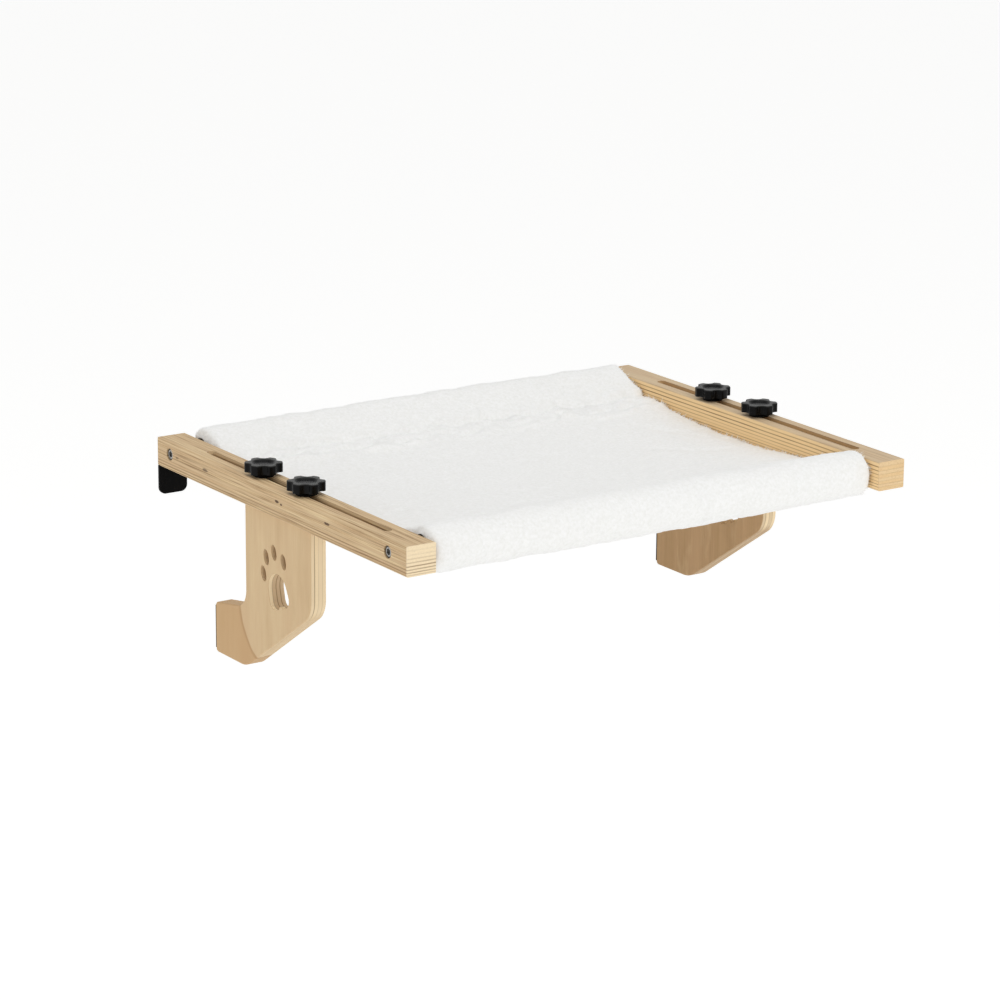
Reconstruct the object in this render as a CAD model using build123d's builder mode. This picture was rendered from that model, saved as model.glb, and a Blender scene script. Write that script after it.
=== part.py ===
from build123d import *
import os
from math import acos, atan2, cos, hypot, radians, sin

os.makedirs("parts", exist_ok=True)

# Hanging cat bed. Two slotted plywood rails are joined by two steel rods, and a
# plush sling hangs on the rods. Under each rail a plywood hook slides in the slot
# and is locked by two star knobs, so a window sill is clamped between the hook's
# padded jaw and the bracket at the rail's rear end.
# Millimetres. X runs across the bed, +Y to the rear, +Z up. The origin is midway
# between the rails, level with their undersides, at the brackets' front faces.
sides = (("left", -1), ("right", 1))

# Rails, cut from 25 mm birch plywood
overall_width = 500.0
rail_length = 400.0
rail_width = 27.0
rail_thickness = 25.0
rail_edge_ease = 0.7

# Slot that the hook's studs slide in
slot_width = 8.0
slot_length = 288.0
slot_front_inset = 46.0

# Rods, steel tube between the rails
rod_diameter = 19.0
rod_wall = 1.5
rod_depth = 11.0
rod_front_inset = 28.5
rod_rear_inset = 21.0

# M6 cap screws and the plugs that they hold in the rods' ends
thread_diameter = 6.0
cap_head_diameter = 10.0
cap_head_height = 6.0
cap_head_ease = 0.5
hex_key_width = 5.0
hex_key_depth = 3.0
rod_screw_length = 35.0
plug_length = 20.0
counterbore_diameter = 10.6
counterbore_depth = 7.0
screw_clearance = 0.2
plug_clearance = 0.1

# Sling: plush sleeves round the rods and a hanging panel between their seams
sling_end_gap = 3.5
sling_rod_clearance = 0.3
sling_thickness = 6.0
sleeve_radius = 20.0
front_sleeve_drop = 3.5
rear_sleeve_drop = 1.0
front_seam_reach = 63.0
rear_seam_reach = 43.5
front_seam_depth = 16.0
rear_seam_depth = 10.2
sling_sag_depth = 22.0
# Sections across the sling: place, sleeve radius and sag, as shares
sling_place_shares = (-1.0, -0.975, -0.92, -0.6, -0.2, 0.2, 0.6, 0.92, 0.975, 1.0)
sling_radius_shares = (0.88, 0.95, 0.985, 1.0, 1.02, 1.03, 1.01, 0.985, 0.95, 0.88)
sling_sag_shares = (0.96, 0.97, 0.98, 1.02, 1.0, 1.03, 1.05, 1.0, 0.99, 0.98)
sling_low_share = 0.52

# Rear brackets, folded steel let into the rails' undersides
bracket_thickness = 2.5
bracket_drop = 26.0
bracket_corner_radius = 6.0
bracket_leg_width = 20.0
bracket_leg_length = 36.0
bracket_leg_radius = 3.0
bracket_bend_radius = 2.0
bracket_pocket_clearance = 0.2
bracket_screw_diameter = 4.0
bracket_screw_length = 16.0
bracket_screw_head = 7.6
bracket_screw_insets = (10.5, 26.5)

# Hooks, cut from 15 mm birch plywood
hook_thickness = 15.0
hook_width = 106.0
hook_drop = 146.0
hook_shoulder_drop = 74.0
hook_heel_inset = 107.0
hook_heel_radius = 30.0
hook_shoulder_radius = 22.0
jaw_reach = 51.5
jaw_tip_depth = 101.8
jaw_root_depth = 92.9
jaw_throat_radius = 18.0
jaw_tip_radius = 3.0
hook_edge_ease = 0.8
left_hook_distance = 189.0
right_hook_distance = 179.0
hook_distances = {"left": left_hook_distance, "right": right_hook_distance}

# Paw cut-out in the hook
paw_depth = 67.6
pad_tilt = -20.0
pad_crown_radius = 15.2
pad_crown_rise = 1.4
pad_lobe_radius = 7.5
pad_lobe_spread = 8.6
pad_lobe_drop = 6.0
pad_notch_radius = 3.0
pad_notch_drop = 14.4
toe_row_tilt = -28.7
toe_row_shift = 3.75
inner_toe_spread = 7.15
inner_toe_rise = 32.5
outer_toe_spread = 18.4
outer_toe_rise = 21.3
toe_width = 8.2
toe_height = 13.8
toe_tilt = -17.5

# Rubber strip on the jaw
jaw_pad_thickness = 2.5
jaw_pad_height = 38.0
jaw_pad_ease = 0.8

# Clamp: threaded inserts in the hooks, studs, washers and star knobs
stud_inset = 18.75
stud_length = 45.0
stud_tip_ease = 0.8
running_clearance = 0.05
insert_diameter = 9.0
insert_length = 20.0
insert_flange_diameter = 12.0
insert_flange_height = 1.5
insert_seat_clearance = 0.1
washer_diameter = 18.0
washer_thickness = 1.6
washer_hole_diameter = 6.4
knob_diameter = 32.0
knob_height = 8.0
knob_lobes = 6
knob_valley_radius = 5.0
knob_valley_overhang = 1.6
knob_lobe_fillet = 2.2
knob_edge_fillet = 1.0
knob_dish_diameter = 20.0
knob_dish_depth = 1.8
knob_dish_taper = 55.0
knob_hub_diameter = 15.0
knob_hub_height = 2.0
knob_relief_diameter = 20.0
knob_relief_depth = 3.5
knob_grip_depth = 6.0
knob_grip_end_gap = 0.3
# How far each knob is turned, in degrees
knob_turns = {
    "left_front": -34.0,
    "left_rear": -31.0,
    "right_front": -30.0,
    "right_rear": -22.0,
}

# Places that follow from the sizes above
rail_centre_x = (overall_width - rail_width) / 2
rail_inner_x = overall_width / 2 - rail_width
rail_rear_y = bracket_thickness
rail_front_y = rail_rear_y - rail_length
slot_centre_y = rail_front_y + slot_front_inset + slot_length / 2
rod_z = rail_thickness - rod_depth
rod_rows = (
    ("front", rail_front_y + rod_front_inset),
    ("rear", rail_rear_y - rod_rear_inset),
)
rod_length = 2 * rail_inner_x
rod_bore = rod_diameter - 2 * rod_wall
cap_seat_x = overall_width / 2 - counterbore_depth
washer_top = rail_thickness + washer_thickness
knob_base = washer_top + knob_hub_height
knob_top = knob_base + knob_height
bracket_screw_rows = [rail_rear_y - inset for inset in bracket_screw_insets]


def save(item, label):
    item.part.label = label
    export_step(item.part, f"parts/{label}.step")


# Rails
for side_name, side in sides:
    rail_x = side * rail_centre_x
    with BuildPart() as rail:
        with BuildSketch(Plane((rail_x, (rail_front_y + rail_rear_y) / 2, 0))):
            Rectangle(rail_width, rail_length)
        extrude(amount=rail_thickness)
        chamfer(rail.edges().filter_by(Axis.Y), rail_edge_ease)
        with BuildSketch(Plane((rail_x, slot_centre_y, 0))):
            SlotOverall(slot_length, slot_width, rotation=90)
        extrude(amount=rail_thickness, mode=Mode.SUBTRACT)
        with BuildSketch(Plane((rail_x, rail_rear_y, 0))):
            Rectangle(
                bracket_leg_width + 2 * bracket_pocket_clearance,
                bracket_leg_length + bracket_pocket_clearance,
                align=(Align.CENTER, Align.MAX),
            )
        extrude(amount=bracket_thickness, mode=Mode.SUBTRACT)
        with BuildSketch(Plane((rail_x, 0, bracket_thickness))):
            with Locations(*[(0, row) for row in bracket_screw_rows]):
                Circle(bracket_screw_diameter / 2 + screw_clearance)
        extrude(amount=bracket_screw_length, mode=Mode.SUBTRACT)
        outer_x = side * overall_width / 2
        with Locations(*[Plane((outer_x, row, rod_z), z_dir=(side, 0, 0)) for _, row in rod_rows]):
            CounterBoreHole(
                thread_diameter / 2 + screw_clearance,
                counterbore_diameter / 2,
                counterbore_depth,
                rail_width,
            )
    save(rail, f"{side_name}_rail")

# Rods, and in each end a plug held by a cap screw through the rail
for row_name, row in rod_rows:
    with BuildPart() as rod:
        with BuildSketch(Plane((-rod_length / 2, row, rod_z), z_dir=(1, 0, 0))):
            Circle(rod_diameter / 2)
            Circle(rod_bore / 2, mode=Mode.SUBTRACT)
        extrude(amount=rod_length)
    save(rod, f"{row_name}_rod")

    for side_name, side in sides:
        with BuildPart() as plug:
            with BuildSketch(Plane((side * rail_inner_x, row, rod_z), z_dir=(-side, 0, 0))):
                Circle(rod_bore / 2 - plug_clearance)
                Circle(thread_diameter / 2 + plug_clearance, mode=Mode.SUBTRACT)
            extrude(amount=plug_length)
        save(plug, f"{row_name}_{side_name}_rod_plug")

        head_seat = Plane((side * cap_seat_x, row, rod_z), z_dir=(side, 0, 0))
        with BuildPart() as rod_screw:
            with BuildSketch(head_seat):
                Circle(cap_head_diameter / 2)
            extrude(amount=cap_head_height)
            chamfer(rod_screw.edges().sort_by(Axis.X)[-1 if side > 0 else 0], cap_head_ease)
            with BuildSketch(head_seat.offset(cap_head_height - hex_key_depth)):
                RegularPolygon(hex_key_width / 2, 6, major_radius=False)
            extrude(amount=hex_key_depth, mode=Mode.SUBTRACT)
            with BuildSketch(head_seat):
                Circle(thread_diameter / 2)
            extrude(amount=-rod_screw_length)
        save(rod_screw, f"{row_name}_{side_name}_rod_screw")

# Rear brackets: a leg let into the rail's underside and a plate that hangs
# behind the sill, with two countersunk screws driven up into the rail
for side_name, side in sides:
    rail_x = side * rail_centre_x
    with BuildPart() as bracket:
        with BuildSketch(Plane((rail_x, rail_rear_y, 0), x_dir=(1, 0, 0), z_dir=(0, -1, 0))):
            Rectangle(rail_width, bracket_drop, align=(Align.CENTER, Align.MAX))
        extrude(amount=bracket_thickness)
        fillet(bracket.edges().filter_by(Axis.Y).group_by(Axis.Z)[0], bracket_corner_radius)
        with BuildSketch(Plane((rail_x, rail_rear_y, 0))):
            Rectangle(bracket_leg_width, bracket_leg_length, align=(Align.CENTER, Align.MAX))
        extrude(amount=bracket_thickness)
        fillet(bracket.edges().filter_by(Axis.Z).group_by(Axis.Y)[0], bracket_leg_radius)
        bend = bracket.edges().filter_by(Axis.X).group_by(Axis.Z)[-1].sort_by(Axis.Y)[-1]
        fillet(bend, bracket_bend_radius)
        underside = [Plane((rail_x, row, 0), z_dir=(0, 0, -1)) for row in bracket_screw_rows]
        with Locations(*underside):
            CounterSinkHole(
                bracket_screw_diameter / 2 + screw_clearance,
                bracket_screw_head / 2 + screw_clearance,
                bracket_thickness,
            )
    save(bracket, f"{side_name}_bracket")

    head_depth = (bracket_screw_head - bracket_screw_diameter) / 2
    with BuildPart() as bracket_screws:
        with BuildSketch(Plane((rail_x, 0, 0))):
            with Locations(*[(0, row) for row in bracket_screw_rows]):
                Circle(bracket_screw_diameter / 2)
        extrude(amount=bracket_screw_length)
        chamfer(
            bracket_screws.faces().sort_by(Axis.Z)[-2:].edges(),
            bracket_screw_diameter / 3,
        )
        for screw_row in bracket_screw_rows:
            with BuildSketch(Plane((rail_x, screw_row, 0))):
                Circle(bracket_screw_head / 2)
            with BuildSketch(Plane((rail_x, screw_row, head_depth))):
                Circle(bracket_screw_diameter / 2)
            loft()
    save(bracket_screws, f"{side_name}_bracket_screws")

# Sling. Each section is drawn in lines and arcs: a sleeve round each rod that
# narrows like a drop to its seam, and the sagging panel between the two seams.
front_row, rear_row = rod_rows[0][1], rod_rows[1][1]
sleeve_centres = (
    (front_row, rod_z - front_sleeve_drop),
    (rear_row, rod_z - rear_sleeve_drop),
)
seam_tops = (
    (front_row + front_seam_reach, rail_thickness - front_seam_depth),
    (rear_row - rear_seam_reach, rail_thickness - rear_seam_depth),
)
low_y = front_row + sling_low_share * (rear_row - front_row)


def on_circle(centre, radius, angle):
    return (centre[0] + radius * cos(angle), centre[1] + radius * sin(angle))


def touch_angle(centre, radius, point, turn):
    """Angle at which a line from the point touches the circle, on the turn's side."""
    reach = hypot(point[0] - centre[0], point[1] - centre[1])
    facing = atan2(point[1] - centre[1], point[0] - centre[0])
    return facing + turn * acos(radius / reach)


def sleeve_arcs(centre, radius, start, end):
    """Two arcs that carry the cloth round one sleeve, anticlockwise."""
    sweep = (end - start) % radians(360)
    steps = [start + sweep * quarter / 4 for quarter in range(5)]
    points = [on_circle(centre, radius, angle) for angle in steps]
    ThreePointArc(*points[:3])
    ThreePointArc(*points[2:])


def sling_outline(radius_share, sag_share):
    radius = sleeve_radius * radius_share
    front, rear = sleeve_centres
    front_top, rear_top = seam_tops
    low_top = (low_y, rail_thickness - sling_sag_depth * sag_share)
    front_under, rear_under, low_under = [
        (point[0], point[1] - sling_thickness) for point in (front_top, rear_top, low_top)
    ]
    front_upper = touch_angle(front, radius, front_top, 1)
    front_lower = touch_angle(front, radius, front_under, -1)
    rear_upper = touch_angle(rear, radius, rear_top, -1)
    rear_lower = touch_angle(rear, radius, rear_under, 1)
    sleeve_arcs(front, radius, front_upper, front_lower)
    Line(on_circle(front, radius, front_lower), front_under)
    ThreePointArc(front_under, low_under, rear_under)
    Line(rear_under, on_circle(rear, radius, rear_lower))
    sleeve_arcs(rear, radius, rear_lower, rear_upper)
    Line(on_circle(rear, radius, rear_upper), rear_top)
    ThreePointArc(rear_top, low_top, front_top)
    Line(front_top, on_circle(front, radius, front_upper))


sling_half = rail_inner_x - sling_end_gap
with BuildPart() as sling:
    for place, radius_share, sag_share in zip(
        sling_place_shares, sling_radius_shares, sling_sag_shares
    ):
        with BuildSketch(Plane.YZ.offset(sling_half * place)):
            with BuildLine():
                sling_outline(radius_share, sag_share)
            make_face()
    loft()
    with BuildSketch(Plane.YZ.offset(-rail_inner_x)):
        with Locations(*[(row, rod_z) for _, row in rod_rows]):
            Circle(rod_diameter / 2 + sling_rod_clearance)
    extrude(amount=rod_length, mode=Mode.SUBTRACT)
save(sling, "sling")

# Hooks, with their jaw pads and the clamp parts on each stud
for side_name, side in sides:
    rail_x = side * rail_centre_x
    hook_y = -hook_distances[side_name]
    hook_front_y = hook_y - hook_width / 2
    hook_rear_y = hook_y + hook_width / 2
    stud_rows = (("front", hook_front_y + stud_inset), ("rear", hook_rear_y - stud_inset))
    jaw_tip_y = hook_rear_y + jaw_reach
    shoulder = (hook_front_y, -hook_shoulder_drop)
    heel = (hook_front_y + hook_heel_inset, -hook_drop)
    jaw_toe = (jaw_tip_y, -hook_drop)
    jaw_tip = (jaw_tip_y, -jaw_tip_depth)
    throat = (hook_rear_y, -jaw_root_depth)
    hook_side = Plane(
        (rail_x - hook_thickness / 2, 0, 0), x_dir=(0, 1, 0), z_dir=(1, 0, 0)
    )
    with BuildPart() as hook:
        with BuildSketch(hook_side) as hook_outline:
            with BuildLine():
                Polyline((hook_front_y, 0), shoulder, heel, jaw_toe, jaw_tip, throat,
                         (hook_rear_y, 0), close=True)
            make_face()
            for corner, radius in (
                (shoulder, hook_shoulder_radius),
                (heel, hook_heel_radius),
                (jaw_toe, jaw_tip_radius),
                (jaw_tip, jaw_tip_radius),
                (throat, jaw_throat_radius),
            ):
                fillet(hook_outline.vertices().sort_by_distance(corner)[0], radius)
        extrude(amount=hook_thickness)
        chamfer(
            hook.faces().filter_by(Axis.X).edges().filter_by(
                lambda edge: edge.center().Z < -hook_edge_ease
            ),
            hook_edge_ease,
        )
        pad_plane, toe_plane = [
            Plane(
                (rail_x - hook_thickness / 2, hook_y, -paw_depth),
                x_dir=(0, cos(radians(tilt)), sin(radians(tilt))),
                z_dir=(1, 0, 0),
            )
            for tilt in (pad_tilt, toe_row_tilt)
        ]
        with BuildSketch(pad_plane):
            with Locations((0, pad_crown_rise)):
                Circle(pad_crown_radius)
            with Locations((-pad_lobe_spread, -pad_lobe_drop), (pad_lobe_spread, -pad_lobe_drop)):
                Circle(pad_lobe_radius)
            make_hull()
            with Locations((0, -pad_notch_drop)):
                Circle(pad_notch_radius, mode=Mode.SUBTRACT)
        with BuildSketch(toe_plane):
            with Locations(
                (-inner_toe_spread - toe_row_shift, inner_toe_rise),
                (inner_toe_spread - toe_row_shift, inner_toe_rise),
                (-outer_toe_spread - toe_row_shift, outer_toe_rise),
                (outer_toe_spread - toe_row_shift, outer_toe_rise),
            ):
                Ellipse(toe_width / 2, toe_height / 2, rotation=toe_tilt - toe_row_tilt)
        extrude(amount=hook_thickness, mode=Mode.SUBTRACT)
        with Locations(*[(rail_x, row, 0) for _, row in stud_rows]):
            CounterBoreHole(
                insert_diameter / 2 + insert_seat_clearance,
                insert_flange_diameter / 2 + insert_seat_clearance,
                insert_flange_height,
                insert_length,
            )
    save(hook, f"{side_name}_hook")

    with BuildPart() as jaw_pad:
        pad_centre_z = -(jaw_tip_depth + hook_drop) / 2
        with BuildSketch(
            Plane((rail_x, jaw_tip_y, pad_centre_z), x_dir=(1, 0, 0), z_dir=(0, 1, 0))
        ):
            Rectangle(hook_thickness - 2 * hook_edge_ease, jaw_pad_height)
        extrude(amount=jaw_pad_thickness)
        chamfer(jaw_pad.faces().sort_by(Axis.Y)[-1].edges(), jaw_pad_ease)
    save(jaw_pad, f"{side_name}_jaw_pad")

    for row_name, row in stud_rows:
        station = f"{side_name}_{row_name}"
        with BuildPart() as insert:
            with BuildSketch(Plane((rail_x, row, 0))):
                Circle(insert_flange_diameter / 2)
            extrude(amount=-insert_flange_height)
            with BuildSketch(Plane((rail_x, row, 0))):
                Circle(insert_diameter / 2)
            extrude(amount=-insert_length)
            with BuildSketch(Plane((rail_x, row, 0))):
                Circle(thread_diameter / 2 + running_clearance)
            extrude(amount=-insert_length, mode=Mode.SUBTRACT)
        save(insert, f"{station}_insert")

        with BuildPart() as washer:
            with BuildSketch(Plane((rail_x, row, rail_thickness))):
                Circle(washer_diameter / 2)
                Circle(washer_hole_diameter / 2, mode=Mode.SUBTRACT)
            extrude(amount=washer_thickness)
        save(washer, f"{station}_washer")

        grip_top = knob_base + knob_grip_depth - knob_grip_end_gap
        with BuildPart() as stud:
            with BuildSketch(Plane((rail_x, row, washer_top - stud_length))):
                Circle(thread_diameter / 2)
            extrude(amount=stud_length + grip_top - washer_top)
            chamfer(stud.edges().sort_by(Axis.Z)[0], stud_tip_ease)
        save(stud, f"{station}_stud")

        knob_radius = knob_diameter / 2
        with BuildPart() as knob:
            knob_seat = Plane((rail_x, row, knob_base)).rotated((0, 0, knob_turns[station]))
            with BuildSketch(knob_seat) as star:
                Circle(knob_radius)
                with PolarLocations(
                    knob_radius + knob_valley_overhang, knob_lobes, start_angle=180 / knob_lobes
                ):
                    Circle(knob_valley_radius, mode=Mode.SUBTRACT)
                fillet(star.vertices(), knob_lobe_fillet)
            extrude(amount=knob_height)
            fillet(knob.edges().group_by(Axis.Z)[-1], knob_edge_fillet)
            with BuildSketch(Plane((rail_x, row, knob_top))):
                Circle(knob_dish_diameter / 2)
            extrude(amount=-knob_dish_depth, taper=knob_dish_taper, mode=Mode.SUBTRACT)
            with BuildSketch(Plane((rail_x, row, knob_base))):
                Circle(knob_relief_diameter / 2)
                Circle(knob_hub_diameter / 2, mode=Mode.SUBTRACT)
            extrude(amount=knob_relief_depth, mode=Mode.SUBTRACT)
            with BuildSketch(Plane((rail_x, row, washer_top))):
                Circle(knob_hub_diameter / 2)
            extrude(amount=knob_hub_height)
            with BuildSketch(Plane((rail_x, row, washer_top))):
                Circle(thread_diameter / 2 + running_clearance)
            extrude(amount=knob_hub_height + knob_grip_depth, mode=Mode.SUBTRACT)
        save(knob, f"{station}_knob")
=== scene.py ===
import math
import random

import bmesh
import bpy
import numpy as np
from mathutils import Matrix, Vector, noise


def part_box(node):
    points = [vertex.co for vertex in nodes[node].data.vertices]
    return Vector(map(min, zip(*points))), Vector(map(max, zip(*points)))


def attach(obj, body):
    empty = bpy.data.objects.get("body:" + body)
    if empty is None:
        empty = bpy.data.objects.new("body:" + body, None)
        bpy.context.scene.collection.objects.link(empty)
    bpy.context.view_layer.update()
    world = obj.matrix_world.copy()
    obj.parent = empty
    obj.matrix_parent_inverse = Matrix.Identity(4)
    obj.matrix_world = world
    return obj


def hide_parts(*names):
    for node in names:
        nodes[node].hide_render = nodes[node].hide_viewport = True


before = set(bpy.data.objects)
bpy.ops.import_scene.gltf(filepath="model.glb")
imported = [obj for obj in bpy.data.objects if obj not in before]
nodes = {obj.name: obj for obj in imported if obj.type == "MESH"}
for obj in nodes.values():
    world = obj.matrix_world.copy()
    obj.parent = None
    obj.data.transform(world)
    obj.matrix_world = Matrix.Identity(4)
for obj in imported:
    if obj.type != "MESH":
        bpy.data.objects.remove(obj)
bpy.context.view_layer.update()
mm = 0.001
print("frame loaded:", len(nodes), "nodes")

# Hanging cat bed: a plush sling on two rods between slotted plywood rails, with
# hooks that slide in the slots and star knobs that lock them under a sill.


def linear(hexColour):
    parts = [int(hexColour[i:i + 2], 16) / 255 for i in (0, 2, 4)]
    return [p / 12.92 if p <= 0.04045 else ((p + 0.055) / 1.055) ** 2.4 for p in parts] + [1.0]


def addNode(material, kind, inputs=(), out=0, **settings):
    # Adds a node, fills or links its inputs, and gives one output, or all for out=None
    tree = material.node_tree
    node = tree.nodes.new("ShaderNode" + kind)
    for name, value in settings.items():
        setattr(node, name, value)
    for name, value in inputs.items() if isinstance(inputs, dict) else enumerate(inputs):
        if isinstance(value, bpy.types.NodeSocket):
            tree.links.new(value, node.inputs[name])
        elif value is not None:
            node.inputs[name].default_value = value
    return node.outputs if out is None else node.outputs[out]


def startMaterial(name, **sockets):
    material = bpy.data.materials.new(name)
    material.use_nodes = True
    shader = material.node_tree.nodes["Principled BSDF"]
    for socket, value in sockets.items():
        shader.inputs[socket.replace("_", " ")].default_value = value
    place = addNode(material, "VectorMath", {0: addNode(material, "TexCoord", out="Object"), "Scale": 1000.0},
                    operation="SCALE")  # millimetres
    return material, shader, place


def wire(material, shader, **sockets):
    for socket, source in sockets.items():
        material.node_tree.links.new(source, shader.inputs[socket.replace("_", " ")])


def dress(material, *names):
    for name in names:
        mesh = nodes[name].data
        mesh.materials.clear()
        mesh.materials.append(material)


def selectOnly(piece):
    bpy.ops.object.select_all(action="DESELECT")
    bpy.context.view_layer.objects.active = piece
    piece.select_set(True)


# Camera at the photograph's place, and a plain pale studio
camera = {
    "place": (-1.78112, -2.80128, 0.86015),
    "right": (0.830747, -0.556598, 0.007676),
    "up": (0.143709, 0.227774, 0.963051),
    "back": (-0.53778, -0.798948, 0.26921),
    "lens": 137.3955,
}
eyeData = bpy.data.cameras.new("photoCamera")
eyeData.sensor_width = 36.0
eyeData.lens = camera["lens"]
eyeData.clip_end = 500.0
eye = bpy.data.objects.new("photoCamera", eyeData)
bpy.context.scene.collection.objects.link(eye)
axes = Matrix((camera["right"], camera["up"], camera["back"])).transposed()
eye.matrix_world = Matrix.Translation(camera["place"]) @ axes.to_4x4()
bpy.context.scene.camera = eye
bpy.context.scene.view_settings.view_transform = "Standard"

studio = {
    "floorDepth": -0.9,
    "floorSize": 400.0,
    # The paper below the bed, in painted shadow, and further out, and how far from the bed's middle,
    # in millimetres, the change starts and ends
    "paperGlow": (0.13, 0.36), "paperTone": ("D8D7D5", "F7F7F6"),
    "bedMiddle": (0, -200, 0), "shadowReach": (250.0, 1150.0),
    "sky": 0.64,
    # name: place, aimed at, width, watts
    "lamps": {
        "keyFront": ((0.8, -3.1, 1.9), (0, -0.2, 0), 1.8, 22.0),
        "topSoft": ((0.0, -0.3, 2.2), (0, -0.2, 0), 2.0, 10.0),
        "fillLeft": ((-3.0, -0.6, 0.9), (0, -0.2, 0), 1.6, 6.0),
    },
}
world = bpy.data.worlds.new("studioAir")
bpy.context.scene.world = world
world.use_nodes = True
world.node_tree.nodes["Background"].inputs["Color"].default_value = (1, 1, 1, 1)
world.node_tree.nodes["Background"].inputs["Strength"].default_value = studio["sky"]
for lampName, (place, aim, width, watts) in studio["lamps"].items():
    lampData = bpy.data.lights.new(lampName, "AREA")
    lampData.size = width
    lampData.energy = watts
    lamp = bpy.data.objects.new(lampName, lampData)
    lamp.location = place
    lamp.rotation_euler = (Vector(place) - Vector(aim)).to_track_quat("Z", "Y").to_euler()
    bpy.context.scene.collection.objects.link(lamp)
bpy.ops.mesh.primitive_plane_add(size=studio["floorSize"], location=(0, 0, studio["floorDepth"]))
floor = bpy.context.object
floor.name = "studioFloor"
# Matt white background paper, evenly lit and glowing, with a painted soft shadow under the bed, where it is
# darker and glows less
paper, paperShader, paperPlace = startMaterial("whitePaper", Roughness=0.9, Emission_Color=(1, 1, 1, 1))
fromBed = addNode(paper, "VectorMath", (paperPlace, studio["bedMiddle"]), 1, operation="DISTANCE")
lit = addNode(paper, "MapRange", (fromBed, *studio["shadowReach"], 0.0, 1.0), interpolation_type="SMOOTHSTEP")
shadowTone, paperTone = (linear(tone) for tone in studio["paperTone"])
wire(paper, paperShader,
     Base_Color=addNode(paper, "Mix", {0: lit, 6: shadowTone, 7: paperTone}, 2, data_type="RGBA"),
     Emission_Strength=addNode(paper, "MapRange", (lit, 0.0, 1.0, *studio["paperGlow"])))
floor.data.materials.append(paper)
print("camera, lights and floor are in place")


def insideBox(material, xyz, low, high, soft):
    # 1 inside the box, fading to 0 over the soft distance inside its sides
    share = None
    for axis in range(3):
        for wall, inner in ((low[axis], low[axis] + soft), (high[axis], high[axis] - soft)):
            limit = addNode(material, "MapRange", (xyz[axis], wall, inner, 0.0, 1.0))
            share = limit if share is None else addNode(material, "Math", (share, limit), operation="MULTIPLY")
    return share


# Birch plywood, sawn and sanded: pale plies whose grain runs by turns with and across
# the piece, and brown glue lines between them. The pattern is solid, so the slots and
# the cut edges show the plies that they pass through.
# Each pattern's features per millimetre: across the grain, along it, and through the plies
plyNoise = {
    "wander": (0.02, 0.011, 0.05),
    # Fibres about 0.9 mm wide and 50 mm long, in the plies with the grain and across it
    "fibres": ((1.1, 0.02, 1.1), (0.02, 1.1, 1.1)),
    # Broad figure of the veneer, some 12 mm wide and 250 mm long
    "figure": (0.085, 0.004, 0.4),
    "glueFade": (0.02, 0.01, 0.31),
}


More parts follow.
